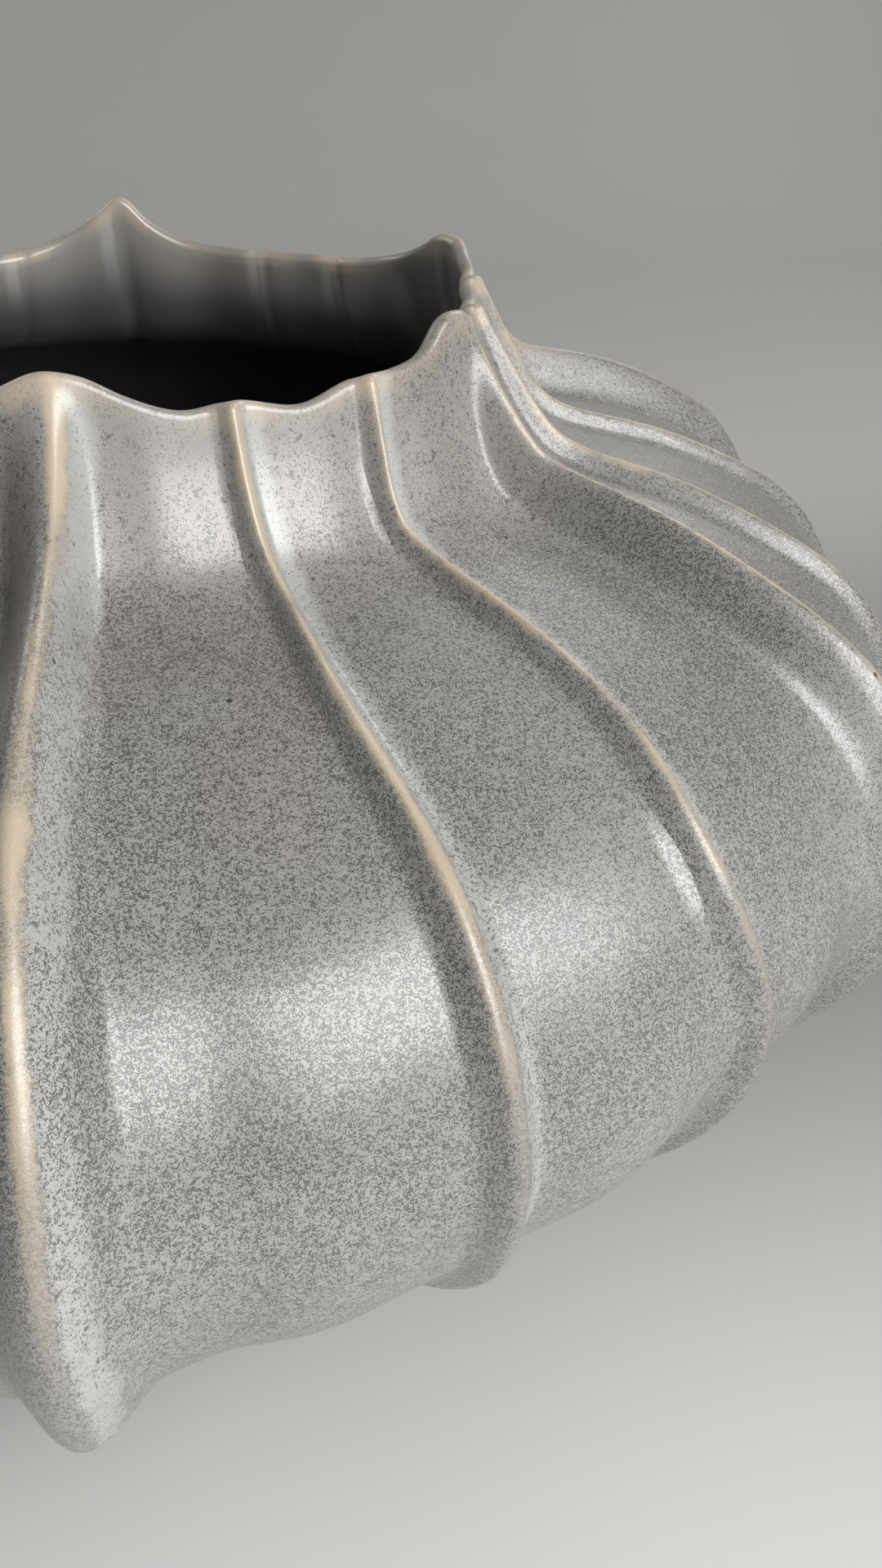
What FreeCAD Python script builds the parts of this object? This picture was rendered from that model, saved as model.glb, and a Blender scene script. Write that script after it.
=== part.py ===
"""A squat stoneware vase with a pleated wall, in the clay pieces it is built from.

Eighteen curved gores stand on a round base slab, and a folded or pinched rib closes
each seam between them. Six of the ribs are deep folds that lift the rim into soft
points. The other twelve are thin. A turned foot ring carries the slab.
Millimetres, +Z up, with the origin at the middle of the foot's resting face.
"""
import FreeCAD, Part
import math
import os

# Overall form, measured on the gores between the ribs
BELLY_RADIUS = 152.0
RIM_HEIGHT = 171.0
WALL = 4.5
MOUTH_RADIUS = 74.5
NECK_RADIUS = 81.0

# Foot and base
FOOT_HEIGHT = 7.0
FOOT_RADIUS = 74.0
FOOT_WIDTH = 9.0
FOOT_BEVEL = 1.2
BASE_THICKNESS = 6.0
BASE_RADIUS = 84.0
BASE_BEVEL = 2.0

# Ribs
FOLD_PROUD = 9.0
FOLD_LIFT = 10.0
THIN_PROUD = 3.0
THIN_LIFT = 1.2

# The lip is bevelled to a ridge
LIP_RISE = 1.2

# How far the rim is drawn in, halfway between one deep fold and the next
DRAWN_IN = 6.5

# Angles in degrees, counted from the -Y side towards +X, set out by eye as on the vase
FOLD_ANGLES = (-6.0, 46.0, 101.0, 173.5, 226.0, 281.0)
FOLD_HALF_ANGLE = 4.2
THIN_HALF_ANGLE = 2.2

# The wavy rim, cut by eye: its height over the mean as shares of a fold's lift, one row from
# each deep fold to the next, at these shares of the angle between them
RIM_STEP_SHARES = (0.00, 0.07, 0.15, 0.25, 0.36, 0.50, 0.64, 0.76, 0.86, 0.93)
RIM_LINE_SHARES = (
    (0.67, 0.60, 0.34, 0.12, 0.18, 0.03, 0.24, 0.27, 0.44, 0.79),
    (0.81, 0.68, 0.53, 0.42, 0.40, 0.41, 0.46, 0.51, 0.60, 0.72),
    (0.82, 0.82, 0.53, 0.20, 0.00, -0.08, -0.11, -0.10, 0.06, 0.40),
    (0.91, 0.60, 0.26, -0.04, -0.22, -0.28, -0.26, -0.16, 0.12, 0.40),
    (0.62, 0.42, 0.14, -0.04, -0.13, -0.16, -0.12, -0.02, 0.18, 0.44),
    (0.68, 0.36, 0.12, 0.00, -0.07, -0.08, -0.01, 0.10, 0.29, 0.44))

# How much of the drawing-in the rim gets between each deep fold and the next
DRAWN_IN_SHARES = (0.0, 1.0, 0.0, 0.0, 0.0, 0.0)

# Where the two thin ribs stand between one deep fold and the next
THIN_SHARES = ((0.36, 0.66), (0.33, 0.66), (0.43, 0.63), (0.35, 0.67), (0.34, 0.66), (0.37, 0.68))

# The wall's outline from the rim down to the slab. Heights are shares of the wall's height
# over the slab. Radii above the shoulder are shares of the step from the neck to the belly.
NECK_SHARES = ((0.000, 1.000), (0.300, 0.953), (1.000, 0.901))
SHOULDER_SHARES = ((0.120, 0.868), (0.360, 0.843), (0.615, 0.801), (0.828, 0.742), (0.968, 0.647))
BELLY_SHARES = ((1.000, 0.556), (0.922, 0.443), (0.700, 0.304), (0.330, 0.125), (0.000, 0.000))

# How far a rib stands out, how thick the wall is and how far down the rim's wave is felt, at
# each point of the outline from the rim down
FOLD_PROUD_SHARES = (0.00, 0.55, 0.92, 1.0, 1.0, 1.0, 1.0, 1.0, 1.0, 1.0, 0.95, 0.60, 0.0)
THIN_PROUD_SHARES = (0.60, 0.90, 1.0, 1.0, 1.0, 1.0, 1.0, 1.0, 1.0, 1.0, 0.95, 0.55, 0.0)
WALL_SHARES = (0.65, 0.85, 1.0, 1.0, 1.0, 1.0, 1.0, 1.0, 1.0, 1.0, 1.05, 1.15, 1.0)
LIFT_SHARES = (1.0, 0.45, 0.10, 0.0, 0.0, 0.0, 0.0, 0.0, 0.0, 0.0, 0.0, 0.0, 0.0)

# A rib's cross-section: where it is cut, and how high it stands there
RIB_CUT_SHARES = (0.0, 0.25, 0.5, 0.75, 1.0)
RIB_RISE_SHARES = (0.0, 0.34, 1.0, 0.34, 0.0)

# A gore lies between an arc and a flat chord, and its inside follows a rib only a little
GORE_CUT_SHARES = (0.0, 0.5, 1.0)
CHORD_SHARE = 0.05
INNER_FOLLOW_SHARE = 0.22

# The lip is bevelled over this share of the rim's thickness on each side
LIP_BEVEL_SHARE = 0.25

# Straight steps of the wall from the rim down to the slab
OUTLINE_STEPS = 20

BASE_TOP = FOOT_HEIGHT + BASE_THICKNESS
FULL_TURN = 360.0


def outline_points():
    """The gore's outer outline as chosen (radius, height) points, from the rim to the slab."""
    span = RIM_HEIGHT - BASE_TOP
    neck = [(MOUTH_RADIUS + (NECK_RADIUS - MOUTH_RADIUS) * r, BASE_TOP + span * h)
            for r, h in NECK_SHARES]
    shoulder = [(NECK_RADIUS + (BELLY_RADIUS - NECK_RADIUS) * r, BASE_TOP + span * h)
                for r, h in SHOULDER_SHARES]
    belly = [(BASE_RADIUS + (BELLY_RADIUS - BASE_RADIUS) * r, BASE_TOP + span * h)
             for r, h in BELLY_SHARES]
    return neck + shoulder + belly


def outline():
    """The smooth curve through the outline's points, walked in short straight steps."""
    points = [FreeCAD.Vector(radius, 0, height) for radius, height in outline_points()]
    spans = len(points) - 1
    curve = Part.BSplineCurve()
    curve.interpolate(Points=points, Parameters=[k / spans for k in range(spans + 1)])
    steps = [curve.value(k / OUTLINE_STEPS) for k in range(OUTLINE_STEPS + 1)]
    return [(step.x, step.z) for step in steps]


def share_at(shares, k):
    """The share at step k of the outline, between the shares at its chosen points."""
    place = k * (len(shares) - 1) / OUTLINE_STEPS
    low = min(int(place), len(shares) - 2)
    return shares[low] + (shares[low + 1] - shares[low]) * (place - low)


def outward(points):
    """The unit direction out of the wall at each point of an outline."""
    directions = []
    for k in range(len(points)):
        above = points[max(k - 1, 0)]
        below = points[min(k + 1, len(points) - 1)]
        run, drop = below[0] - above[0], above[1] - below[1]
        length = math.hypot(run, drop)
        directions.append((drop / length, run / length))
    return directions


OUTLINE = outline()
OUTWARD = outward(OUTLINE)


def rib_centres():
    """Every rib round the vase as (angle, is a deep fold), in order."""
    ribs = []
    for k, start in enumerate(FOLD_ANGLES):
        after = FOLD_ANGLES[k + 1] if k + 1 < len(FOLD_ANGLES) else FOLD_ANGLES[0] + FULL_TURN
        ribs.append((start, True))
        for share in THIN_SHARES[k]:
            ribs.append((start + (after - start) * share, False))
    return ribs


def place_between_folds(angle):
    """Which two deep folds an angle lies between, and at what share of the way."""
    turn = (angle - FOLD_ANGLES[0]) % FULL_TURN + FOLD_ANGLES[0]
    span = sum(turn >= fold for fold in FOLD_ANGLES) - 1
    after = FOLD_ANGLES[span + 1] if span + 1 < len(FOLD_ANGLES) else FOLD_ANGLES[0] + FULL_TURN
    return span, (turn - FOLD_ANGLES[span]) / (after - FOLD_ANGLES[span])


def rim_lift(angle):
    """How far the rim stands over its mean height."""
    span, along = place_between_folds(angle)
    steps = RIM_STEP_SHARES + (1.0,)
    line = RIM_LINE_SHARES[span] + RIM_LINE_SHARES[(span + 1) % len(RIM_LINE_SHARES)][:1]
    k = sum(along >= step for step in RIM_STEP_SHARES) - 1
    part = (along - steps[k]) / (steps[k + 1] - steps[k])
    return FOLD_LIFT * (line[k] + (line[k + 1] - line[k]) * part)


def drawn_in(angle):
    """How far the rim is drawn in towards the middle."""
    span, along = place_between_folds(angle)
    return DRAWN_IN * DRAWN_IN_SHARES[span] * math.sin(math.pi * along)


def turned(angle, radius, height):
    """A point of a section at its angle round the vase."""
    theta = math.radians(angle)
    return FreeCAD.Vector(radius * math.sin(theta), -radius * math.cos(theta), height)


def section(angle, proud=0.0, proud_shares=THIN_PROUD_SHARES, lift=0.0, pull=1.0):
    """The corners of the wall's closed section at an angle.

    proud pushes it out along its own normal, lift raises the rim, and pull draws the
    middle of a gore in towards its flat chord.
    """
    outer, inner = [], []
    rise, inward = rim_lift(angle) + lift, drawn_in(angle)
    for k, (radius, height) in enumerate(OUTLINE):
        out_r, out_z = OUTWARD[k]
        reach = share_at(LIFT_SHARES, k)
        radius = radius * pull - inward * reach
        push = proud * share_at(proud_shares, k)
        wall = WALL * share_at(WALL_SHARES, k)
        level = height + rise * reach
        outer.append((radius + push * out_r, level + push * out_z))
        follow = push * INNER_FOLLOW_SHARE - wall
        inner.append((radius + follow * out_r, level + follow * out_z))
    last = len(OUTLINE) - 1
    outer[last] = (BASE_RADIUS * pull, BASE_TOP)
    inner[last] = (BASE_RADIUS * pull - wall / OUTWARD[last][0], BASE_TOP)
    lip = []
    for part in (LIP_BEVEL_SHARE, 1 - LIP_BEVEL_SHARE):
        across = inner[0][0] + (outer[0][0] - inner[0][0]) * part
        lip.append((across, inner[0][1] + (outer[0][1] - inner[0][1]) * part + LIP_RISE))
    return [turned(angle, *point) for point in outer + inner[::-1] + lip]


def facet(*corners):
    """A flat face between its corners."""
    return Part.Face(Part.makePolygon(corners + corners[:1]))


def skin(sections):
    """A closed solid through neighbouring sections, in flat facets."""
    faces = [facet(*sections[0]), facet(*sections[-1])]
    for near, far in zip(sections, sections[1:]):
        for k in range(len(near)):
            faces.append(facet(near[k - 1], near[k], far[k]))
            faces.append(facet(near[k - 1], far[k], far[k - 1]))
    return Part.Solid(Part.Shell(faces))


def rib(angle, is_fold):
    """A folded or pinched rib: a bell-shaped ridge from the rim down to the slab."""
    half = FOLD_HALF_ANGLE if is_fold else THIN_HALF_ANGLE
    proud = FOLD_PROUD if is_fold else THIN_PROUD
    shares = FOLD_PROUD_SHARES if is_fold else THIN_PROUD_SHARES
    lift = 0.0 if is_fold else THIN_LIFT
    cuts = [section(angle + half * (2 * cut - 1), proud * rise, shares, lift * rise)
            for cut, rise in zip(RIB_CUT_SHARES, RIB_RISE_SHARES)]
    return skin(cuts)


def gore(start, end):
    """One wall panel between two ribs, a little flatter than the round."""
    sagitta = 1 - math.cos(math.radians((end - start) / 2))
    cuts = [section(start + (end - start) * cut, pull=1 - CHORD_SHARE * sagitta * 4 * cut * (1 - cut))
            for cut in GORE_CUT_SHARES]
    return skin(cuts)


def revolve(points):
    """A turned piece from its half section in the XZ plane."""
    face = facet(*[FreeCAD.Vector(r, 0, z) for r, z in points])
    return face.revolve(FreeCAD.Vector(0, 0, 0), FreeCAD.Vector(0, 0, 1), FULL_TURN)


def foot_ring():
    """The turned ring that the vase rests on, with bevelled edges."""
    inner = FOOT_RADIUS - FOOT_WIDTH
    return revolve([(inner, FOOT_BEVEL), (inner + FOOT_BEVEL, 0), (FOOT_RADIUS - FOOT_BEVEL, 0),
                    (FOOT_RADIUS, FOOT_BEVEL), (FOOT_RADIUS, FOOT_HEIGHT), (inner, FOOT_HEIGHT)])


def base_slab():
    """The round slab that closes the bottom, with its lower edge bevelled."""
    return revolve([(0, FOOT_HEIGHT), (BASE_RADIUS - BASE_BEVEL, FOOT_HEIGHT),
                    (BASE_RADIUS, FOOT_HEIGHT + BASE_BEVEL), (BASE_RADIUS, BASE_TOP), (0, BASE_TOP)])


def pieces():
    """Every piece of the vase by its node name."""
    made = {"foot_ring": foot_ring(), "base_slab": base_slab()}
    ribs = rib_centres()
    count = {True: 0, False: 0}
    for k, (angle, is_fold) in enumerate(ribs):
        count[is_fold] += 1
        name = f"deep_fold_{count[True]}" if is_fold else f"thin_rib_{count[False]:02d}"
        made[name] = rib(angle, is_fold)
        after, after_fold = ribs[k + 1] if k + 1 < len(ribs) else (ribs[0][0] + FULL_TURN, ribs[0][1])
        start = angle + (FOLD_HALF_ANGLE if is_fold else THIN_HALF_ANGLE)
        end = after - (FOLD_HALF_ANGLE if after_fold else THIN_HALF_ANGLE)
        made[f"wall_gore_{k + 1:02d}"] = gore(start, end)
    return made


def main():
    os.makedirs("parts", exist_ok=True)
    for name, shape in pieces().items():
        shape.exportStep(f"parts/{name}.step")
        print(name, "valid" if shape.isValid() else "NOT VALID", round(shape.Volume), "mm3")


main()
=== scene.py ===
# %% [markdown]
# # A pleated stoneware vase
#
# The hard shape of this vase is already made. It comes in as a fixed frame of separate clay
# pieces: a foot ring, a base slab, eighteen wall gores, six deep folds and twelve thin ribs.
# The frame is true to size, but its walls are laid in short flat facets.
#
# This lesson gives each gore, fold and rib a smooth glazed skin, gives the slab and the foot
# ring their finishes, and sets the vase on a pale shelf in the light of four soft windows.

# %% Load the frame
import math

import bmesh
import bpy
import numpy as np
from mathutils import Matrix, Vector, noise


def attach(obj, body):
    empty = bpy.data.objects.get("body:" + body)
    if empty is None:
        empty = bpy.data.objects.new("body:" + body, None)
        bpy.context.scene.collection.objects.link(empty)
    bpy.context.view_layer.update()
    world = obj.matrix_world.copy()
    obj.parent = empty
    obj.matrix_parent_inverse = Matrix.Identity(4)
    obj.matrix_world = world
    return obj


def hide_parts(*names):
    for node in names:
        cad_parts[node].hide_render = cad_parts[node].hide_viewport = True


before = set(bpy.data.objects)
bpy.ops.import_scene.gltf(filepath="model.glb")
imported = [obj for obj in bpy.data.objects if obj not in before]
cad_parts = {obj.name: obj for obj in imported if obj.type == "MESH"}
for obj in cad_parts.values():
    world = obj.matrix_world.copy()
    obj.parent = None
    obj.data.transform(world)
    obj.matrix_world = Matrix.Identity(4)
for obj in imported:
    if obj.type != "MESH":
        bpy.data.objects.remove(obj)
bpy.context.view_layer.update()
MM = 0.001
print("frame pieces:", len(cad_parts))

# %% [markdown]
# ## The wall's outline
#
# A potter thinks of the wall as one profile, from the lip down over the shoulder and belly to
# the slab. It could be drawn as a Bezier curve by hand. Here it is a short table instead, with
# one row at each place where the profile turns, because the table can carry more than the
# shape, such as how far the ribs stand out there, how thick the wall is and how far the wavy
# rim's lift is felt. A natural cubic spline runs smoothly through all columns at once, so that no
# row shows as a kink in the gloss.

# %% Draw the outline
# Each row has the radius and the height in mm, the share of a fold's height, the share of a thin
# rib's height, the wall in mm, the share of the rim's lift, how far a gore lies from its arc
# towards its chord (below 0 where it is puffed out), the power of a fold's bell, the share of
# the wall's swell towards a fold, and how many times as high as the others the front fold is.
OUTLINE = np.array([
    (74.5, 171.0, 0.00, 0.60, 2.9, 1.00, -1.0, 4.0, 0.00, 1.00),
    (76.5, 163.5, 0.50, 0.90, 3.8, 0.45, -1.4, 4.0, 0.05, 1.20),
    (81.0, 155.4, 0.85, 1.00, 4.5, 0.10, -1.4, 3.8, 0.10, 1.30),
    (89.5, 150.2, 0.92, 1.00, 4.5, 0.00, -1.0, 3.6, 0.15, 1.35),
    (106.6, 146.2, 0.92, 1.00, 4.5, 0.00, -0.4, 3.4, 0.30, 1.35),
    (124.7, 139.6, 0.88, 1.00, 4.5, 0.00, 0.0, 3.1, 0.50, 1.25),
    (139.8, 130.2, 0.82, 1.00, 4.5, 0.00, -0.1, 2.9, 0.80, 1.15),
    (149.7, 115.2, 0.72, 1.00, 4.5, 0.00, -0.8, 2.6, 1.15, 1.05),
    (152.0, 100.9, 0.67, 1.00, 4.5, 0.00, -1.5, 2.4, 1.30, 0.92),
    (146.7, 83.0, 0.74, 1.00, 4.5, 0.00, -1.6, 2.2, 1.00, 0.82),
    (131.6, 61.0, 0.76, 0.95, 4.7, 0.00, -1.0, 2.2, 0.55, 0.80),
    (106.4, 32.7, 0.52, 0.55, 5.2, 0.00, -0.3, 2.0, 0.20, 0.90),
    (84.0, 13.0, 0.00, 0.00, 4.5, 0.00, 0.0, 2.0, 0.00, 1.00)])
BASE_TOP = OUTLINE[-1, 1]


def spline_bends(rows):
    """Second derivatives of the natural cubic spline through evenly spaced rows."""
    count = len(rows)
    matrix = np.eye(count)
    known = np.zeros_like(rows)
    for k in range(1, count - 1):
        matrix[k, k - 1:k + 2] = 1, 4, 1
        known[k] = 6 * (rows[k + 1] - 2 * rows[k] + rows[k - 1])
    return np.linalg.solve(matrix, known)


BENDS = spline_bends(OUTLINE)


def table_at(rows, bends, down):
    """A table's columns and their slopes at places down the wall, 0 at the lip to 1 at the slab."""
    place = np.asarray(down) * (len(rows) - 1)
    low = np.minimum(place.astype(int), len(rows) - 2)
    near = (place - low)[:, None]
    far = 1 - near
    value = (far * rows[low] + near * rows[low + 1]
             + (far ** 3 - far) / 6 * bends[low] + (near ** 3 - near) / 6 * bends[low + 1])
    slope = (rows[low + 1] - rows[low]
             + (1 - 3 * far ** 2) / 6 * bends[low] + (3 * near ** 2 - 1) / 6 * bends[low + 1])
    return value, slope


sample, _ = table_at(OUTLINE, BENDS, np.linspace(0, 1, 200))
print("widest gore radius", round(sample[:, 0].max(), 1), "mm")

# %% [markdown]
# ## Where the ribs stand
#
# The maker set the folds out by eye, so the spaces between them differ. Angles are counted in
# degrees from the front of the vase, which is -Y, towards +X. Between each fold and the next
# stand two thin ribs. Everything round the vase is worked out from this one list, so that a
# rib, the gores beside it and the glaze that breaks over it can't drift apart.

# %% Set out the ribs
FOLD_ANGLES = (-6.0, 46.0, 101.0, 173.5, 226.0, 281.0)
THIN_SHARES = ((0.36, 0.66), (0.33, 0.66), (0.43, 0.63), (0.35, 0.67), (0.34, 0.66), (0.37, 0.68))
# the half width of each rib's piece in degrees, and how far the rib stands out in mm
FOLD_HALF, THIN_HALF = 4.2, 2.2
FOLD_PROUD, THIN_PROUD = 9.0, 3.0


def fold_after(k):
    """The angle of the next fold after fold k, counted on past a full turn."""
    return FOLD_ANGLES[k + 1] if k + 1 < len(FOLD_ANGLES) else FOLD_ANGLES[0] + 360


def set_out_ribs():
    """Each rib as its name, angle, half width in degrees and height in mm."""
    ribs = []
    thin_count = 0
    for k, angle in enumerate(FOLD_ANGLES):
        ribs.append((f"deep_fold_{k + 1}", angle, FOLD_HALF, FOLD_PROUD))
        for share in THIN_SHARES[k]:
            thin_count += 1
            between = angle + (fold_after(k) - angle) * share
            ribs.append((f"thin_rib_{thin_count:02d}", between, THIN_HALF, THIN_PROUD))
    return ribs


def set_out_gores(ribs):
    """Each gore as its name, first angle and last angle, between one rib and the next."""
    gores = []
    for k, (_, angle, half, _) in enumerate(ribs):
        _, after, after_half, _ = ribs[(k + 1) % len(ribs)]
        if k + 1 == len(ribs):
            after += 360
        gores.append((f"wall_gore_{k + 1:02d}", angle + half, after - after_half))
    return gores


RIBS = set_out_ribs()
GORES = set_out_gores(RIBS)

# how far the ribs in view sway from their angles, in degrees, at the rows of the outline
SEEN_SWAY = np.array([
    (0.85, 0.65, 0.25, 0.05, -0.05, -0.48, -0.21, -0.13, -0.15, -0.50, -1.10, -1.00, 0.0),
    (-0.84, -0.75, -0.50, -0.28, -0.82, -0.30, -0.05, -0.05, -0.20, 0.00, -0.10, 0.00, 0.0),
    (-0.12, -0.40, -0.95, -0.10, 0.05, -0.10, -1.05, -0.30, 0.00, 0.00, -0.20, 0.00, 0.0),
    (3.00, 2.10, 1.70, 1.90, 0.80, 0.00, 0.00, -0.10, -0.20, -0.30, -0.20, 0.00, 0.0),
    (1.50, 1.50, 1.70, 1.80, 0.90, 0.00, 0.00, -0.20, 0.00, 0.00, 0.00, 0.00, 0.0),
    (1.60, 1.60, 1.20, 0.70, 0.50, 0.00, 0.00, -0.50, -0.60, -0.30, 0.00, 0.00, 0.0),
    (2.00, 1.20, 0.50, 0.20, 0.20, -0.50, -0.60, -1.20, -1.20, -0.80, 0.00, 0.00, 0.0)])
# the ribs out of view sway in a wave of this size in degrees, each with its own start
HIDDEN_SWAY, SWAY_START = 0.5, 2.4


def sway_table():
    """Every rib's sway, one column each, with a slow wave for the ribs out of view."""
    rows = len(OUTLINE)
    hidden = [[HIDDEN_SWAY * math.sin(2 * math.pi * row / rows + SWAY_START * k) for row in range(rows)]
              for k in range(len(SEEN_SWAY), len(RIBS))]
    return np.concatenate([SEEN_SWAY, hidden]).T


SWAY = sway_table()
SWAY_BENDS = spline_bends(SWAY)
print(len(RIBS), "ribs and", len(GORES), "gores")

# %% [markdown]
# ## How clay swells into a rib
#
# A pinched rib isn't a tube laid on the wall. The wall rises in a hollow curve to a narrow
# crest and falls away again. The bell (1 - u * u) ** 4 does that: it is flat at its feet, so
# the rib meets the gore without a line, and at its middle it is as tight as a fingertip leaves
# it. Lower down a smaller power lets the deep folds grow broad and soft, and the wall itself
# swells a little towards them. The front fold leans: its left flank is broader than its right
# one, and so it lies in shade.
#
# The rim is a wavy line that was cut by eye. It rises to a soft point at each deep fold, and
# between two of the folds it is also drawn in. A few heights from each fold to the next say
# all of it, and a curve that takes its slope from their neighbours joins them smoothly.

# %% Shape the ribs and the rim
RIM_STEPS = (0.00, 0.07, 0.15, 0.25, 0.36, 0.50, 0.64, 0.76, 0.86, 0.93)
RIM_LINE = (
    (6.7, 6.0, 3.4, 1.2, 1.8, 0.3, 2.4, 2.7, 4.4, 7.9),
    (8.1, 6.8, 5.3, 4.2, 4.0, 4.1, 4.6, 5.1, 6.0, 7.2),
    (8.2, 8.2, 5.3, 2.0, 0.0, -0.8, -1.1, -1.0, 0.6, 4.0),
    (9.1, 6.0, 2.6, -0.4, -2.2, -2.8, -2.6, -1.6, 1.2, 4.0),
    (6.2, 4.2, 1.4, -0.4, -1.3, -1.6, -1.2, -0.2, 1.8, 4.4),
    (6.8, 3.6, 1.2, 0.0, -0.7, -0.8, -0.1, 1.0, 2.9, 4.4))
# how far the rim is drawn in, in mm, and after which fold, counted from 0
DRAWN_IN, DRAWN_IN_AFTER = 6.5, 1


def turn_between(angle, centre):
    """The shortest turn in degrees from a centre to each angle."""
    return (angle - centre + 180) % 360 - 180


def bell(turn, half, pinch=4):
    """A rib's rise, 1 on its crest and 0 at its feet."""
    return np.clip(1 - (turn / half) ** 2, 0, 1) ** pinch


def rim_points():
    """The angles and heights of the rim line, with a few repeated so that it closes."""
    angles = [angle + (fold_after(k) - angle) * step
              for k, angle in enumerate(FOLD_ANGLES) for step in RIM_STEPS]
    angles, lifts = np.array(angles), np.array(RIM_LINE).ravel()
    angles = np.concatenate([angles[-2:] - 360, angles, angles[:3] + 360])
    return angles, np.concatenate([lifts[-2:], lifts, lifts[:3]])


RIM_ANGLES, RIM_LIFTS = rim_points()
RIM_SLOPES = np.gradient(RIM_LIFTS, RIM_ANGLES)


def rim_lift(angle):
    """How far the rim stands over its mean height."""
    turn = (angle - FOLD_ANGLES[0]) % 360 + FOLD_ANGLES[0]
    low = np.searchsorted(RIM_ANGLES, turn, side="right") - 1
    gap = RIM_ANGLES[low + 1] - RIM_ANGLES[low]
    t = (turn - RIM_ANGLES[low]) / gap
    ends = RIM_LIFTS[low] * (1 + 2 * t) * (1 - t) ** 2 + RIM_LIFTS[low + 1] * (3 - 2 * t) * t ** 2
    return ends + gap * t * (1 - t) * (RIM_SLOPES[low] * (1 - t) - RIM_SLOPES[low + 1] * t)


def drawn_in(angle):
    """How far the rim is drawn in towards the middle."""
    start, end = FOLD_ANGLES[DRAWN_IN_AFTER], fold_after(DRAWN_IN_AFTER)
    along = turn_between(angle, (start + end) / 2) / (end - start)
    return np.where(np.abs(along) < 0.5, DRAWN_IN * np.cos(along * math.pi), 0)


def gore_flatness(angle, chord_share):
    """The factor that draws a gore's middle in towards a flat chord, or puffs it out."""
    pull = np.ones_like(angle)
    for _, first, last in GORES:
        along = turn_between(angle, (first + last) / 2) / (last - first)
        depth = 1 - math.cos(math.radians((last - first) / 2))
        pull -= chord_share * depth * np.where(np.abs(along) < 0.5, np.cos(along * math.pi) ** 2, 0)
    return pull


rim = OUTLINE[0, 1] + rim_lift(np.linspace(-180, 180, 721))
print("rim from", round(rim.min(), 1), "to", round(rim.max(), 1), "mm")

# %% [markdown]
# ## From a spun piece to the real wall
#
# Each piece starts as the wall's profile at its first edge, spun through a few degrees. Then
# every point moves to its place on the real wall. For that a point has to know where on the
# profile it lies, so three numbers are stored on it before the spin, which copies them along:
# how far down the wall it is, which side of the wall it is on, and how high it stands in the
# rounded lip. The numbers are kept in layers of the bmesh.

# %% Place points on the real wall
# the half widths in degrees of a fold's crest and of the wall's swell beside it, the swell in mm
# and the power of its bell
CREST_HALF = 3.5
SWELL_HALF, SWELL_PROUD, SWELL_PINCH = 7.6, 2.7, 2
# the width in mm of the front fold's left flank, how much narrower it is at the slab, and the
# power of its bell
FRONT_FLANK, FLANK_TAPER, FLANK_PINCH = 8.5, 1.5, 2
# how far the lip's rounding rises in mm, and the share of a rib that the inside follows
LIP_RISE = 1.3
INNER_FOLLOW = 0.10
# the hand's unevenness in mm, its waves per mm, and the height in mm over which it grows
HAND_WOBBLE = 0.35
WOBBLE_SCALE = 1 / 45
WOBBLE_FADE = 20


def wall_points(angle, down, side, crown):
    """Places in mm on the real wall. side is 1 outside and 0 inside, crown is 1 on top of the lip."""
    value, slope = table_at(OUTLINE, BENDS, down)
    (radius, height, fold_share, thin_share, wall, lift_share, chord_share, pinch, swell_share,
     front_share) = value.T
    sway, _ = table_at(SWAY, SWAY_BENDS, down)
    length = np.hypot(slope[:, 0], slope[:, 1])
    out_r, out_z = -slope[:, 1] / length, slope[:, 0] / length
    push = np.zeros_like(angle)
    for k, (_, centre, half, proud) in enumerate(RIBS):
        turn = turn_between(angle, centre + sway[:, k])
        if proud == FOLD_PROUD:
            front_left = (k == 0) & (turn < 0)
            left_flank = np.degrees((FRONT_FLANK - FLANK_TAPER * down) / radius)
            reach = np.where(front_left, left_flank, CREST_HALF)
            height_share = fold_share * (front_share if k == 0 else 1)
            push += proud * height_share * bell(turn, reach, np.where(front_left, FLANK_PINCH, pinch))
            push += SWELL_PROUD * swell_share * bell(turn, SWELL_HALF, SWELL_PINCH)
        else:
            push += proud * thin_share * bell(turn, half)
    radius = radius * gore_flatness(angle, chord_share) - drawn_in(angle) * lift_share
    level = height + rim_lift(angle) * lift_share
    depth = side * push + (1 - side) * (push * INNER_FOLLOW - wall)
    place_r = radius + depth * out_r
    place_z = np.maximum(level + depth * out_z + crown * LIP_RISE, BASE_TOP)
    foot_inner = (down >= 1) & (side < 1)
    place_r = np.where(foot_inner, radius - wall / out_r, place_r)
    turn = np.radians(angle)
    return np.stack([place_r * np.sin(turn), -place_r * np.cos(turn), place_z], axis=1)


def hand_wobble(point):
    """The small unevenness of a wall that was shaped by hand, in mm along the radius."""
    grown = min(1, max(0, (point[2] - BASE_TOP) / WOBBLE_FADE))
    return HAND_WOBBLE * grown * noise.noise(Vector(point) * WOBBLE_SCALE)


crest_place = wall_points(np.array([FOLD_ANGLES[0]]), np.array([0.5]), 1.0, 0.0)[0]
print("the front fold stands", round(np.hypot(*crest_place[:2]), 1), "mm out, halfway down the wall")

# %% [markdown]
# ## Spin one piece of the wall
#
# The profile is a closed loop: down the outside, up the inside and over the lip. bmesh's spin
# sweeps it round, and filling the two open ends makes the piece a closed solid, as clay is.
# The ends are hidden inside the wall. Their edges are marked sharp, so that their faces don't
# bend the shading of the skin. Neighbouring pieces share their edge points exactly, because
# both get them from the same formula.

# %% Spin a piece
OUTER_STEPS, INNER_STEPS, LIP_STEPS = 96, 40, 8
LAYERS = ("down", "side", "crown")


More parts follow.
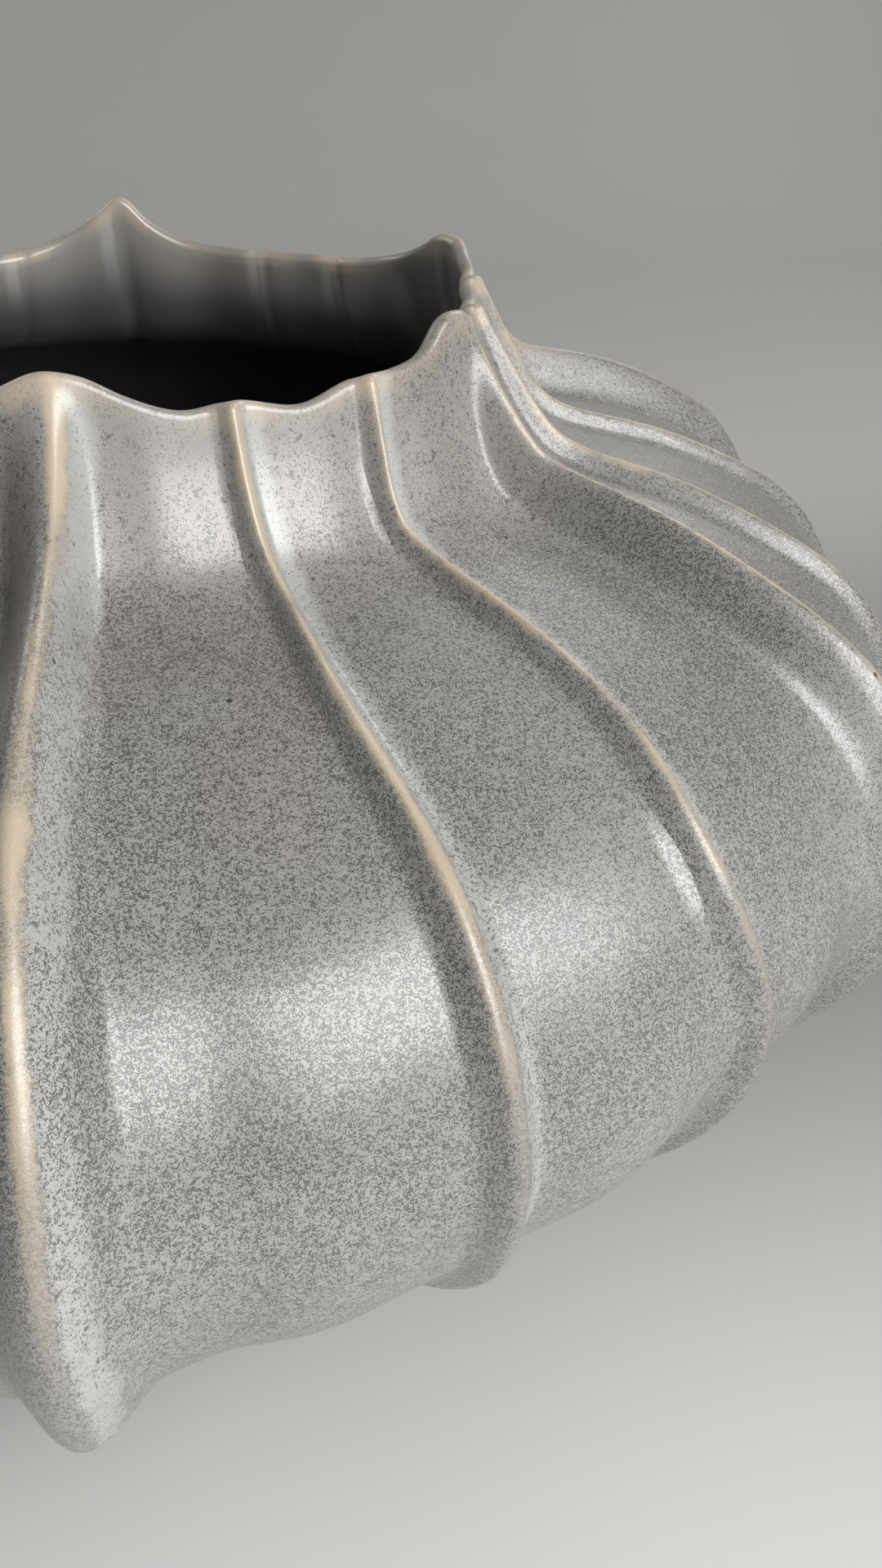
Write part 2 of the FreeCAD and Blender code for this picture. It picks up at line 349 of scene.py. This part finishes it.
def wall_loop():
    """The closed profile as rows of down, side and crown."""
    outside = [(k / OUTER_STEPS, 1.0, 0.0) for k in range(OUTER_STEPS + 1)]
    inside = [(1 - k / INNER_STEPS, 0.0, 0.0) for k in range(INNER_STEPS + 1)]
    lip = []
    for k in range(1, LIP_STEPS):
        arc = math.pi * (1 - k / LIP_STEPS)
        lip.append((0.0, (1 + math.cos(arc)) / 2, math.sin(arc)))
    return outside + inside + lip


def start_profile(bm, angle):
    """The profile's points and edges at one angle, with their three numbers stored."""
    rows = np.array(wall_loop())
    places = wall_points(np.full(len(rows), float(angle)), *rows.T)
    layers = [bm.verts.layers.float.new(name) for name in LAYERS]
    verts = []
    for place, row in zip(places, rows):
        vert = bm.verts.new(place)
        for layer, number in zip(layers, row):
            vert[layer] = number
        verts.append(vert)
    edges = [bm.edges.new((verts[k - 1], verts[k])) for k in range(len(verts))]
    return verts, edges


def spin_piece(bm, first, last, steps):
    """Sweep the profile from one angle to another and close both ends."""
    verts, edges = start_profile(bm, first)
    bmesh.ops.spin(bm, geom=verts + edges, cent=(0, 0, 0), axis=(0, 0, 1),
                   angle=math.radians(last - first), steps=steps)
    ends = [edge for edge in bm.edges if edge.is_boundary]
    for edge in ends:
        edge.smooth = False
    for face in bm.faces:
        face.smooth = True
    caps = bmesh.ops.holes_fill(bm, edges=ends, sides=0)["faces"]
    for cap in caps:
        cap.smooth = False


print("profile points:", len(wall_loop()))

# %% [markdown]
# ## What the glaze needs to know
#
# Glaze behaves by the shape under it. It thins and breaks to tan where it runs off a crest or
# a lip, and pools pale beside a rib. Finding crests from the mesh inside a material is slow
# and rough, so each point simply carries the facts: how far it is from the nearest crest, to
# which side, how far it is from the lip along the wall, and whether it is inside. The glaze
# reads these attributes.

# %% Store what the glaze reads
LIP_SAMPLES = 400
LIP_PATH = np.linspace(0, 1, LIP_SAMPLES)
path, _ = table_at(OUTLINE, BENDS, LIP_PATH)
path_steps = np.hypot(np.diff(path[:, 0]), np.diff(path[:, 1]))
LIP_DISTANCE = np.concatenate([[0], np.cumsum(path_steps)])
GLAZE_FACTS = ("off_crest", "right_of_rib", "from_lip", "inside")


def glaze_facts(angle, down, side, radius):
    """Rows of off_crest in mm, right_of_rib 0 or 1, from_lip in mm and inside 0 or 1."""
    sway, _ = table_at(SWAY, SWAY_BENDS, down)
    turns = np.stack([turn_between(angle, rib[1] + sway[:, k]) for k, rib in enumerate(RIBS)])
    nearest = np.abs(turns).argmin(axis=0)
    turn = turns[nearest, np.arange(len(angle))]
    off_crest = np.radians(np.abs(turn)) * radius
    right = (turn > 0).astype(float)
    return np.stack([off_crest, right, np.interp(down, LIP_PATH, LIP_DISTANCE), 1 - side], axis=1)


def shape_piece(bm):
    """Move a spun piece onto the real wall and store the glaze's facts on it."""
    facts = [bm.verts.layers.float.new(name) for name in GLAZE_FACTS]
    layers = [bm.verts.layers.float[name] for name in LAYERS]
    verts = list(bm.verts)
    rows = np.array([[vert[layer] for layer in layers] for vert in verts])
    down, side, crown = rows.T
    angle = np.array([math.degrees(math.atan2(vert.co.x, -vert.co.y)) for vert in verts])
    places = wall_points(angle, down, side, crown)
    stored = glaze_facts(angle, down, side, np.hypot(places[:, 0], places[:, 1]))
    for vert, place, numbers in zip(verts, places, stored):
        grow = 1 + hand_wobble(place) / math.hypot(place[0], place[1])
        vert.co = Vector((place[0] * grow, place[1] * grow, place[2])) * MM
        for layer, number in zip(facts, numbers):
            vert[layer] = number
    bmesh.ops.recalc_face_normals(bm, faces=bm.faces[:])


print("the wall is", round(LIP_DISTANCE[-1], 1), "mm long from lip to slab")

# %% [markdown]
# ## Make the thirty-six pieces
#
# On the bench each gore, fold and rib is clay of its own, joined while damp. One spun wall
# would look the same, but then no piece could be taken out, so each gets its own object, which
# stands for its node of the frame. A rib's crest is tight, so a rib is cut much finer than a gore.

# %% Make the wall
FOLD_CUTS, THIN_CUTS = 36, 24
GORE_CUT_ANGLE = 0.55


def add_object(name, data):
    """An object for a mesh, a lamp or a camera, put into the scene."""
    made = bpy.data.objects.new(name, data)
    bpy.context.scene.collection.objects.link(made)
    return made


def finish_mesh(bm, name):
    """The object that a bmesh turns into."""
    mesh = bpy.data.meshes.new(name)
    bm.to_mesh(mesh)
    bm.free()
    return add_object(name, mesh)


def make_piece(node, first, last, steps):
    """One glazed piece of the wall that stands for its frame node."""
    bm = bmesh.new()
    spin_piece(bm, first, last, steps)
    shape_piece(bm)
    piece = finish_mesh(bm, "glazed_" + node)
    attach(piece, "root")
    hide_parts(node)
    return piece


wall = []
for node, angle, half, proud in RIBS:
    cuts = FOLD_CUTS if proud == FOLD_PROUD else THIN_CUTS
    wall.append(make_piece(node, angle - half, angle + half, cuts))
for node, first, last in GORES:
    wall.append(make_piece(node, first, last, math.ceil((last - first) / GORE_CUT_ANGLE)))
print(len(wall), "pieces,", sum(len(piece.data.polygons) for piece in wall), "faces")

# %% [markdown]
# ## Small tools for materials
#
# Node trees are long to write. These helpers add one node each and wire it, so that a finish
# reads as a list of what happens in it.

# %% Node helpers
# a Mix node has sockets for each kind of value, and these are the ones for colours
MIX_AMOUNT, MIX_UNDER, MIX_OVER, MIX_RESULT = 0, 6, 7, 2


def new_finish(name):
    """A new material, its node tree and its shader."""
    material = bpy.data.materials.new(name)
    material.use_nodes = True
    return material, material.node_tree, material.node_tree.nodes["Principled BSDF"]


def feed(tree, socket, value):
    """Link an input to another node's output, or set it to a fixed value."""
    if isinstance(value, bpy.types.NodeSocket):
        tree.links.new(value, socket)
    else:
        socket.default_value = value


def add_node(tree, kind, inputs=None, **settings):
    """A node with its settings made, and its inputs set or linked by name."""
    made = tree.nodes.new(kind)
    for name, value in settings.items():
        setattr(made, name, value)
    for name, value in (inputs or {}).items():
        feed(tree, made.inputs[name], value)
    return made


def calc(tree, operation, first, second):
    """One sum on two numbers."""
    made = add_node(tree, "ShaderNodeMath", operation=operation)
    for socket, value in zip(made.inputs, (first, second)):
        feed(tree, socket, value)
    return made.outputs[0]


def plus(tree, first, second):
    """One number and another."""
    return calc(tree, "ADD", first, second)


def less(tree, first, second):
    """One number less another."""
    return calc(tree, "SUBTRACT", first, second)


def times(tree, first, second):
    """One number times another."""
    return calc(tree, "MULTIPLY", first, second)


def fade(tree, value, low, high, at_low=0.0, at_high=1.0):
    """A soft step from one number to another as the value goes from low to high."""
    made = add_node(tree, "ShaderNodeMapRange", {
        "Value": value, "From Min": low, "From Max": high, "To Min": at_low, "To Max": at_high},
        interpolation_type="SMOOTHSTEP")
    return made.outputs["Result"]


def tint(tree, amount, under, over):
    """One colour laid over another by an amount."""
    made = add_node(tree, "ShaderNodeMix", data_type="RGBA")
    for index, value in ((MIX_AMOUNT, amount), (MIX_UNDER, under), (MIX_OVER, over)):
        feed(tree, made.inputs[index], (*value, 1) if isinstance(value, tuple) else value)
    return made.outputs[MIX_RESULT]


def grain(tree, coordinates, scale, detail, roughness=0.5):
    """A noise value with a scale in features per metre."""
    made = add_node(tree, "ShaderNodeTexNoise", {
        "Vector": coordinates, "Scale": scale, "Detail": detail, "Roughness": roughness})
    return made.outputs["Fac"]


def swing(tree, noise_value, size):
    """A noise value made to swing about 0."""
    return times(tree, less(tree, noise_value, 0.5), size)


def add_bump(tree, shader, relief, strength, depth):
    """A fine relief that only the light feels."""
    bump = add_node(tree, "ShaderNodeBump", {"Height": relief, "Strength": strength, "Distance": depth})
    tree.links.new(bump.outputs["Normal"], shader.inputs["Normal"])


# %% [markdown]
# ## The speckled glaze
#
# The glaze is satin and light grey, with a dense dark fleck, most of it finer than half a
# millimetre. It could be one noise texture, but then it would look like printed paper. The
# real one is never even: the flecks crowd on the belly and thin out to smooth grey-green at the
# bottom, which is painted darker there as shade under the belly, a warm cast lies near the rim,
# a paler blue-green band pools right of each rib, and tan clay shows through where the glaze
# breaks over the crests and the lip.
#
# All of this follows from where a point lies, so that comes first. No edge in a glaze is a
# clean line, so a slow noise and a quick one are added to the ways from the crest and the lip.
# Heights are in metres, as everywhere in Blender, and ways along the wall are in mm. A noise
# is named with its scale, its detail and its roughness. A fade is named with where it starts,
# where it ends and, unless they are 0 and 1, what it is there.

# %% Find where a point lies
FAR_FROM_CREST = 40.0
SLAB_FLOOR = (0.0122, 0.0128)
WANDER_NOISE, WANDER = (60, 2), 2.4
EDGE_NOISE, CREST_RAG, LIP_RAG = (420, 3), 1.2, 2.0
CLOUD_NOISE = (28, 3, 0.6)
POOL_STARTS, POOL_ENDS = (1.2, 2.2), (3.4, 5.6, 1.0, 0.0)


def fact(tree, name):
    """One of the numbers stored on the mesh."""
    return add_node(tree, "ShaderNodeAttribute", attribute_name=name).outputs["Fac"]


def find_spot(tree, on_wall):
    """Where a point lies, read from the facts on the wall's mesh. The slab has none."""
    place = add_node(tree, "ShaderNodeTexCoord").outputs["Object"]
    height = add_node(tree, "ShaderNodeSeparateXYZ", {"Vector": place}).outputs["Z"]
    if on_wall:
        off_crest, right, from_lip, inside = [fact(tree, word) for word in GLAZE_FACTS]
    else:
        off_crest, right, from_lip = FAR_FROM_CREST, 0.0, LIP_DISTANCE[-1]
        inside = fade(tree, height, *SLAB_FLOOR)
    edge = grain(tree, place, *EDGE_NOISE)
    off = plus(tree, off_crest, swing(tree, grain(tree, place, *WANDER_NOISE), WANDER))
    off = plus(tree, off, swing(tree, edge, CREST_RAG))
    lip = plus(tree, from_lip, swing(tree, edge, LIP_RAG))
    pooled = times(tree, fade(tree, off, *POOL_STARTS), fade(tree, off, *POOL_ENDS))
    return {"place": place, "height": height, "off": off, "right": right, "lip": lip,
            "from_lip": from_lip, "inside": inside, "pooled": times(tree, pooled, right),
            "cloud": grain(tree, place, *CLOUD_NOISE)}


# %% [markdown]
# ## The flecks
#
# Iron in the glaze gathers in specks. A Voronoi texture would make them round dots, all of one
# size. Fine noise that is cut off at a level gives specks of every shape. Where the level
# falls they crowd together, so the level follows the height, the way from the lip, slow clouds,
# small clusters and the pools. A few coarser flecks lie where they are neither dense nor rare.

# %% Scatter the flecks
CROWD_BY_HEIGHT = (0.030, 0.085)
CROWD_BY_LIP = (4, 55, 0.45, 1.0)
CLUSTER_NOISE = (520, 2)
CLOUD_SWING, CLUSTER_SWING, POOL_THINS, INNER_THINS = 1.3, 1.1, 0.45, 0.8
FINE_NOISE, FINE_SHARE = (4900, 2, 0.65), 0.66
MIDDLE_NOISE, MIDDLE_SHARE = (1900, 2, 0.6), 0.34
COARSE_NOISE, COARSE_CUT = (900, 2, 0.6), (0.60, 0.68)
FLECK_LEVEL, FLECK_EDGE = (0.0, 1.2, 0.60, 0.497), (-0.05, 0.05)
SPARSE_STARTS, SPARSE_ENDS = (0.15, 0.6), (0.9, 0.5)


def fleck_crowd(tree, spot):
    """How densely the flecks lie, about 0 to 1."""
    crowd = fade(tree, spot["height"], *CROWD_BY_HEIGHT)
    crowd = times(tree, crowd, fade(tree, spot["from_lip"], *CROWD_BY_LIP))
    crowd = plus(tree, crowd, swing(tree, spot["cloud"], CLOUD_SWING))
    crowd = plus(tree, crowd, swing(tree, grain(tree, spot["place"], *CLUSTER_NOISE), CLUSTER_SWING))
    return less(tree, crowd, times(tree, spot["pooled"], POOL_THINS))


def scatter_flecks(tree, spot):
    """Where the flecks are, 0 or 1 with a soft edge."""
    place, crowd = spot["place"], fleck_crowd(tree, spot)
    fine = times(tree, grain(tree, place, *FINE_NOISE), FINE_SHARE)
    specks = plus(tree, fine, times(tree, grain(tree, place, *MIDDLE_NOISE), MIDDLE_SHARE))
    fleck = fade(tree, less(tree, specks, fade(tree, crowd, *FLECK_LEVEL)), *FLECK_EDGE)
    coarse = fade(tree, grain(tree, place, *COARSE_NOISE), *COARSE_CUT)
    sparse = times(tree, fade(tree, crowd, *SPARSE_STARTS), fade(tree, crowd, *SPARSE_ENDS))
    fleck = calc(tree, "MAXIMUM", fleck, times(tree, coarse, sparse))
    return times(tree, fleck, less(tree, 1.0, times(tree, spot["inside"], INNER_THINS)))


# %% [markdown]
# ## The colours of the glaze
#
# One colour after another is laid over the ground: a warm cast in slow clouds near the rim,
# rose at the lip, smooth grey-green low down, darkened there as painted shade, the pale pool
# beside a rib, and the flecks. Over the crests the glaze breaks to tan in patches, further down
# to rose, and the lip breaks most beside a rib. Deep inside, painted shade darkens the glaze. A
# few pinholes show where gas came out of the clay, and for these a Voronoi texture is right,
# since they are round and far apart.

# %% Lay the colours
GROUND = (0.37, 0.368, 0.354)
FLECK, FLECK_COVER = (0.066, 0.062, 0.058), 0.88
WARM, WARM_BY_LIP = (0.35, 0.313, 0.29), (20, 120, 0.8, 0.0)
WARM_NOISE, WARM_CUT = (22, 2), (0.48, 0.66)
POOL, POOL_COVER = (0.50, 0.508, 0.488), 0.7
# the smooth grey-green low down, darkened as painted shade under the belly
SMOOTH_GREEN_AND_SHADE, SMOOTH_GREEN_AND_SHADE_BY_HEIGHT = (0.19, 0.197, 0.188), (0.075, 0.035)
TAN, TAN_BY_HEIGHT = (0.62, 0.51, 0.37), (0.085, 0.140, 0.25, 1.0)
ROSE, ROSE_BY_LIP, ROSE_BY_HEIGHT = (0.29, 0.258, 0.235), (50, 12, 0.0, 0.5), (0.140, 0.105)
# painted shade: the glaze is darkened deep inside, where little light gets in
INNER_PAINTED_SHADE, INNER_SHADE_BY_LIP = (0.105, 0.110, 0.110), (0, 14)
PINHOLE, PINHOLE_SCALE, PINHOLE_CUT, PINHOLE_COVER = (0.03, 0.028, 0.025), 62.0, (0.032, 0.018), 0.8
CREST_REACH, CREST_REACH_RIGHT, CREST_EDGE = 0.9, 0.9, (-1.0, 0.3, 1.0, 0.0)
PATCH_NOISE, PATCH_CUT = (75, 2), (0.32, 0.60, 0.35, 0.85)
LIP_EDGE, LIP_BY_RIB = (2.4, 0.2), (9.0, 3.0, 0.12, 0.65)


def whole_glaze(tree, spot, fleck):
    """The colour where the glaze lies thick."""
    warm = fade(tree, grain(tree, spot["place"], *WARM_NOISE), *WARM_CUT)
    warm = times(tree, warm, fade(tree, spot["from_lip"], *WARM_BY_LIP))
    colour = tint(tree, warm, GROUND, WARM)
    colour = tint(tree, fade(tree, spot["lip"], *ROSE_BY_LIP), colour, ROSE)
    # the smooth grey-green low down is partly the glaze's own colour and partly painted shade
    colour = tint(tree, fade(tree, spot["height"], *SMOOTH_GREEN_AND_SHADE_BY_HEIGHT), colour, SMOOTH_GREEN_AND_SHADE)
    colour = tint(tree, times(tree, spot["pooled"], POOL_COVER), colour, POOL)
    return tint(tree, times(tree, fleck, FLECK_COVER), colour, FLECK)


def broken_glaze(tree, spot, colour):
    """The colour with the clay that shows through the thin glaze of crests and lip."""
    reach = plus(tree, times(tree, spot["right"], CREST_REACH_RIGHT), CREST_REACH)
    crest = fade(tree, less(tree, spot["off"], reach), *CREST_EDGE)
    crest = times(tree, crest, less(tree, 1.0, spot["inside"]))
    patchy = fade(tree, grain(tree, spot["place"], *PATCH_NOISE), *PATCH_CUT)
    patchy = times(tree, patchy, fade(tree, spot["height"], *TAN_BY_HEIGHT))
    broken = tint(tree, fade(tree, spot["height"], *ROSE_BY_HEIGHT), TAN, ROSE)
    colour = tint(tree, times(tree, crest, patchy), colour, broken)
    lip_tan = times(tree, fade(tree, spot["lip"], *LIP_EDGE), patchy)
    lip_tan = times(tree, lip_tan, fade(tree, spot["off"], *LIP_BY_RIB))
    return tint(tree, lip_tan, colour, TAN)


def inner_shade_and_pinholes(tree, spot, colour):
    """The colour with painted shade deep inside the vase, and the pinholes."""
    # painted shade deep inside the vase
    painted_inner_shade = times(tree, spot["inside"], fade(tree, spot["from_lip"], *INNER_SHADE_BY_LIP))
    colour = tint(tree, painted_inner_shade, colour, INNER_PAINTED_SHADE)
    holes = add_node(tree, "ShaderNodeTexVoronoi", {"Vector": spot["place"], "Scale": PINHOLE_SCALE})
    pinhole = fade(tree, holes.outputs["Distance"], *PINHOLE_CUT)
    return tint(tree, times(tree, pinhole, PINHOLE_COVER), colour, PINHOLE)


# %% [markdown]
# ## The shine of the glaze
#
# A satin glaze shows a window with a soft edge. The flecks, the clouds and the lip are a little
# duller, and a very low relief, in which the flecks lie sunk, lets the reflections waver.

# %% Mix the glaze
SATIN, FLECK_DULL, CLOUD_DULL, DULL_BY_LIP = 0.22, 0.10, 0.06, (35, 15, 0.0, 0.05)
GLAZE_IOR = 1.75
RELIEF_NOISE, FLECK_SUNK = (190, 3), 0.2
GLAZE_BUMP, GLAZE_BUMP_DEPTH = 0.25, 0.0002


def shine(tree, shader, spot, fleck):
    """Give the shader the glaze's roughness, strength of reflection and relief."""
    rough = plus(tree, times(tree, fleck, FLECK_DULL), SATIN)
    rough = plus(tree, rough, times(tree, spot["cloud"], CLOUD_DULL))
    rough = plus(tree, rough, fade(tree, spot["from_lip"], *DULL_BY_LIP))
    tree.links.new(rough, shader.inputs["Roughness"])
    shader.inputs["IOR"].default_value = GLAZE_IOR
    relief = less(tree, grain(tree, spot["place"], *RELIEF_NOISE), times(tree, fleck, FLECK_SUNK))
    add_bump(tree, shader, relief, GLAZE_BUMP, GLAZE_BUMP_DEPTH)


def mix_glaze(name, on_wall):
    """The glaze of the wall, which reads the facts on its mesh, or of the slab, which has none."""
    material, tree, shader = new_finish(name)
    spot = find_spot(tree, on_wall)
    fleck = scatter_flecks(tree, spot)
    colour = whole_glaze(tree, spot, fleck)
    colour = broken_glaze(tree, spot, colour)
    colour = inner_shade_and_pinholes(tree, spot, colour)
    tree.links.new(colour, shader.inputs["Base Color"])
    shine(tree, shader, spot, fleck)
    return material


glaze = mix_glaze("speckled_glaze", True)
for piece in wall:
    piece.data.materials.append(glaze)
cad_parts["base_slab"].data.materials[0] = mix_glaze("slab_glaze", False)
print("glaze nodes:", len(glaze.node_tree.nodes))

# %% [markdown]
# ## The bare foot
#
# The foot ring is wiped clean of glaze, or it would stick to the kiln shelf. Bare stoneware is
# matt and gritty, warm buff with darker iron grains. A plain buff would do from far off, but a
# slow noise for the toasted patches and a fine one for the grit cost little.

# %% Fire the foot
CLAY = (0.46, 0.33, 0.22)
CLAY_DARK, TOAST_NOISE, TOAST_CUT = (0.30, 0.20, 0.13), (40, 4, 0.6), (0.35, 0.65)
IRON, GRIT_NOISE, GRIT_CUT = (0.08, 0.05, 0.035), (1500, 2), (0.62, 0.70)
CLAY_ROUGH = 0.88
SAND_NOISE, SAND_BUMP, SAND_BUMP_DEPTH = (1100, 3), 0.5, 0.0003


def fire_clay():
    """The bare stoneware of the foot ring."""
    material, tree, shader = new_finish("bare_stoneware")
    place = add_node(tree, "ShaderNodeTexCoord").outputs["Object"]
    toasted = fade(tree, grain(tree, place, *TOAST_NOISE), *TOAST_CUT)
    grit = fade(tree, grain(tree, place, *GRIT_NOISE), *GRIT_CUT)
    colour = tint(tree, grit, tint(tree, toasted, CLAY, CLAY_DARK), IRON)
    tree.links.new(colour, shader.inputs["Base Color"])
    shader.inputs["Roughness"].default_value = CLAY_ROUGH
    add_bump(tree, shader, grain(tree, place, *SAND_NOISE), SAND_BUMP, SAND_BUMP_DEPTH)
    return material


stoneware = fire_clay()
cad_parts["foot_ring"].data.materials[0] = stoneware
print("clay nodes:", len(stoneware.node_tree.nodes))

# %% [markdown]
# ## The shelf and the wall behind it
#
# The vase stands on a pale shelf, and the room behind it is a plain mid grey. Two flat sheets
# would meet in a hard line. A studio uses one sheet that bends up behind the object instead,
# so that nothing but the light changes from floor to wall. It is a line extruded sideways,
# with a spun quarter circle for the bend.

# %% Bend the sheet
SHEET_WIDTH, SHEET_FRONT, SHEET_BACK = 20.0, -10.0, 1.0
BEND_RADIUS, BEND_STEPS, SHEET_HEIGHT = 0.8, 24, 4.0


def only_points(parts):
    """The points among the parts that an operator gives back."""
    return [part for part in parts if isinstance(part, bmesh.types.BMVert)]


def bent_sheet():
    """The floor and wall as one sheet with a quarter-round bend."""
    bm = bmesh.new()
    front = bm.verts.new((-SHEET_WIDTH / 2, SHEET_FRONT, 0))
    back = bm.verts.new((-SHEET_WIDTH / 2, SHEET_BACK, 0))
    bm.edges.new((front, back))
    bent = bmesh.ops.spin(bm, geom=[back], cent=(0, SHEET_BACK, BEND_RADIUS), axis=(1, 0, 0),
                          angle=math.radians(90), steps=BEND_STEPS)
    top = bmesh.ops.extrude_vert_indiv(bm, verts=only_points(bent["geom_last"]))["verts"]
    bmesh.ops.translate(bm, verts=top, vec=(0, 0, SHEET_HEIGHT))
    wide = bmesh.ops.extrude_edge_only(bm, edges=bm.edges[:])["geom"]
    bmesh.ops.translate(bm, verts=only_points(wide), vec=(SHEET_WIDTH, 0, 0))
    bmesh.ops.recalc_face_normals(bm, faces=bm.faces[:])
    for face in bm.faces:
        face.smooth = True
    return bm


stage = finish_mesh(bent_sheet(), "stage_sheet")
print("stage faces:", len(stage.data.polygons))

# %% [markdown]
# ## The paint on the sheet
#
# In the photograph the shelf is nearly white in front, a little darker to the right, greyest
# round the foot of the vase and mid grey behind it. Lamps alone would need many shades and
# screens for that, so that shade is painted instead: painted shade to the right, round the foot
# and on the floor behind, which fades into the grey of the wall, with fades along X and Y. A
# trace of slow noise keeps it from looking like a screen.

# %% Paint the sheet
# painted shade: grey round the foot, to the right and on the floor behind; the far grey is also the
# wall's own tone
SHELF_NEAR, SHELF_SHADE_GREY, FAR_GREY_AND_SHADE = (0.97, 0.97, 0.95), (0.30, 0.30, 0.288), (0.58, 0.58, 0.56)
SHADE_TO_RIGHT = (-0.08, 0.35, 0.0, 0.50)
SHADE_TO_FOOT = (-0.20, 0.00)
SHADE_FAR_BEHIND = (0.05, 0.40)
MOTTLE_NOISE, MOTTLE_CUT = (4, 3), (0.3, 0.7, 0.0, 0.04)
PAINT_ROUGH = 0.7


def paint_stage():
    """Matt paint that is pale in front, with painted shade round the foot, to the right and behind."""
    material, tree, shader = new_finish("stage_paint")
    place = add_node(tree, "ShaderNodeTexCoord").outputs["Object"]
    parts = add_node(tree, "ShaderNodeSeparateXYZ", {"Vector": place}).outputs
    # painted shade to the right, round the foot and on the floor behind
    colour = tint(tree, fade(tree, parts["X"], *SHADE_TO_RIGHT), SHELF_NEAR, SHELF_SHADE_GREY)
    colour = tint(tree, fade(tree, parts["Y"], *SHADE_TO_FOOT), colour, SHELF_SHADE_GREY)
    colour = tint(tree, fade(tree, parts["Y"], *SHADE_FAR_BEHIND), colour, FAR_GREY_AND_SHADE)
    mottle = fade(tree, grain(tree, place, *MOTTLE_NOISE), *MOTTLE_CUT)
    colour = tint(tree, mottle, colour, SHELF_SHADE_GREY)
    tree.links.new(colour, shader.inputs["Base Color"])
    shader.inputs["Roughness"].default_value = PAINT_ROUGH
    return material


stage.data.materials.append(paint_stage())
print("stage paint:", stage.data.materials[0].name)

# %% [markdown]
# ## Light
#
# A large window behind the camera and a narrow one to its right give every gore that faces
# them one soft bright patch. Two dimmer ones at the back light the ribs on the far side. The
# rest of the room is dim and even. All windows are plain area lamps. The two in front stand
# where the gloss in the photograph looks.

# %% Light the vase
AIM = (0, 0, 0.10)
ROOM_LIGHT = 0.075
# each window's name, place, width and height in metres, and power in watts
WINDOWS = (
    ("front_window", (0.53, -1.06, 0.86), 0.80, 0.96, 16.5),
    ("right_window", (0.93, -0.73, 0.86), 0.30, 0.96, 5.2),
    ("back_window", (1.30, 1.50, 1.25), 1.20, 0.80, 7),
    ("far_window", (-1.15, 1.45, 1.25), 1.20, 0.80, 6))


def add_window(name, place, width, height, power):
    """A soft rectangular light that looks at the vase."""
    lamp = bpy.data.lights.new(name, "AREA")
    lamp.shape = "RECTANGLE"
    lamp.size, lamp.size_y = width, height
    lamp.energy = power
    lamp_object = add_object(name, lamp)
    lamp_object.location = place
    lamp_object.rotation_euler = (Vector(AIM) - Vector(place)).to_track_quat("-Z", "Y").to_euler()


for row in WINDOWS:
    add_window(*row)

world = bpy.data.worlds.new("room")
world.use_nodes = True
world.node_tree.nodes["Background"].inputs["Color"].default_value = (1, 1, 1, 1)
world.node_tree.nodes["Background"].inputs["Strength"].default_value = ROOM_LIGHT
bpy.context.scene.world = world
bpy.context.scene.view_settings.view_transform = "Standard"
print("windows:", len(WINDOWS))

# %% [markdown]
# ## Camera
#
# The photograph was taken from very near and from above, with a wide phone lens that looks
# past the vase's middle, a little to the right. The camera's place, turn and lens were solved
# from the lines of the ribs. They could be set by hand, but then no rib would lie on its line.

# %% Place the camera
CAMERA_PLACE = (0.0, -0.225, 0.21595)
CAMERA_YAW, CAMERA_PITCH, CAMERA_ROLL = 16.8836, -33.9139, -2.0711
LENS, SENSOR_WIDTH = 25.951, 36
NEAREST_SEEN = 0.01

camera = bpy.data.cameras.new("camera")
camera.lens = LENS
camera.sensor_width = SENSOR_WIDTH
camera.clip_start = NEAREST_SEEN
camera_object = add_object("camera", camera)
camera_object.matrix_world = (
    Matrix.Translation(CAMERA_PLACE)
    @ Matrix.Rotation(math.radians(-CAMERA_YAW), 4, "Z")
    @ Matrix.Rotation(math.radians(90 + CAMERA_PITCH), 4, "X")
    @ Matrix.Rotation(math.radians(-CAMERA_ROLL), 4, "Z"))
bpy.context.scene.camera = camera_object
print("camera looks along", tuple(round(v, 3) for v in -camera_object.matrix_world.col[2].to_3d()))
